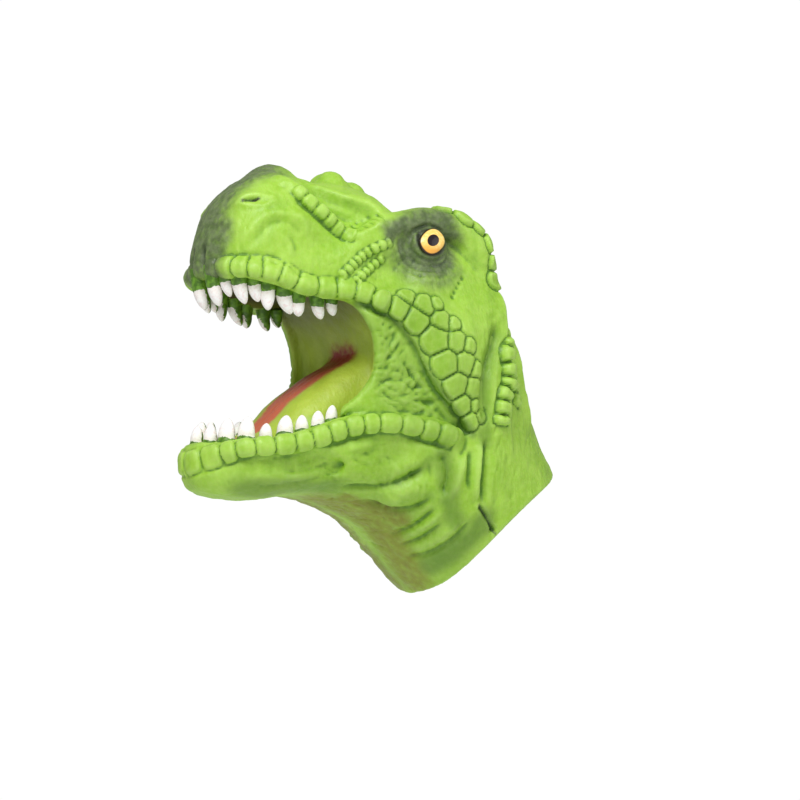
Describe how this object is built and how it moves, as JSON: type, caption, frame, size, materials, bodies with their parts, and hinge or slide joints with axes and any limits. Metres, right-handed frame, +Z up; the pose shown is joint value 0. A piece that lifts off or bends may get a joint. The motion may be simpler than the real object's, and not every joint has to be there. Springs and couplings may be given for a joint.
{
  "type": "dinosaur hand puppet",
  "caption": "Hollow soft rubber dinosaur head worn on the hand, with a nodding head and a wide opening toothed mouth.",
  "frame": {"origin": "centre of the round hand opening at the base of the neck", "axes": "+X out along the snout, +Y to the puppet's left, +Z up, with the head level as it is held on the hand"},
  "size_m": [0.1585, 0.08, 0.1623],
  "materials": {
    "green_rubber": "soft matte rubber, airbrushed",
    "mouth_rubber": "soft matte rubber",
    "tongue_rubber": "soft matte rubber",
    "tooth_paint": "white paint on rubber",
    "eye_paint": "gloss paint"
  },
  "bodies": {
    "neck": {"neck_sleeve": "green_rubber", "neck_fold": "green_rubber"},
    "head": {"head_shell": "green_rubber", "palate_lining": "mouth_rubber", "eye_left": "eye_paint", "eye_right": "eye_paint", "cheek_web_left": "green_rubber", "cheek_web_right": "green_rubber", "mouth_fold": "mouth_rubber", "throat_fold": "green_rubber", "upper_tooth_left_1": "tooth_paint", "upper_tooth_left_2": "tooth_paint", "upper_tooth_left_3": "tooth_paint", "upper_tooth_left_4": "tooth_paint", "upper_tooth_left_5": "tooth_paint", "upper_tooth_left_6": "tooth_paint", "upper_tooth_left_7": "tooth_paint", "upper_tooth_left_8": "tooth_paint", "upper_tooth_left_9": "tooth_paint", "upper_tooth_right_1": "tooth_paint", "upper_tooth_right_2": "tooth_paint", "upper_tooth_right_3": "tooth_paint", "upper_tooth_right_4": "tooth_paint", "upper_tooth_right_5": "tooth_paint", "upper_tooth_right_6": "tooth_paint", "upper_tooth_right_7": "tooth_paint", "upper_tooth_right_8": "tooth_paint", "upper_tooth_right_9": "tooth_paint"},
    "lower_jaw": {"lower_jaw_shell": "green_rubber", "mouth_floor_lining": "mouth_rubber", "tongue": "tongue_rubber", "lower_tooth_left_1": "tooth_paint", "lower_tooth_left_2": "tooth_paint", "lower_tooth_left_3": "tooth_paint", "lower_tooth_left_4": "tooth_paint", "lower_tooth_left_5": "tooth_paint", "lower_tooth_left_6": "tooth_paint", "lower_tooth_left_7": "tooth_paint", "lower_tooth_left_8": "tooth_paint", "lower_tooth_right_1": "tooth_paint", "lower_tooth_right_2": "tooth_paint", "lower_tooth_right_3": "tooth_paint", "lower_tooth_right_4": "tooth_paint", "lower_tooth_right_5": "tooth_paint", "lower_tooth_right_6": "tooth_paint", "lower_tooth_right_7": "tooth_paint", "lower_tooth_right_8": "tooth_paint"}
  },
  "joints": [
    {"name": "head_nod", "type": "hinge", "parent": "neck", "child": "head", "pos_m": [0.0222, 0, 0.0271], "axis": [0, 1, 0], "range_deg": [-12, 12], "stiffness_Nm_per_rad": 6, "deforming": ["neck_fold"]},
    {"name": "jaw_hinge", "type": "hinge", "parent": "head", "child": "lower_jaw", "pos_m": [0.058, 0, 0.06], "axis": [0, -1, 0], "range_deg": [-5, 32], "stiffness_Nm_per_rad": 1.2, "deforming": ["cheek_web_left", "cheek_web_right", "mouth_fold", "throat_fold"]}
  ]
}
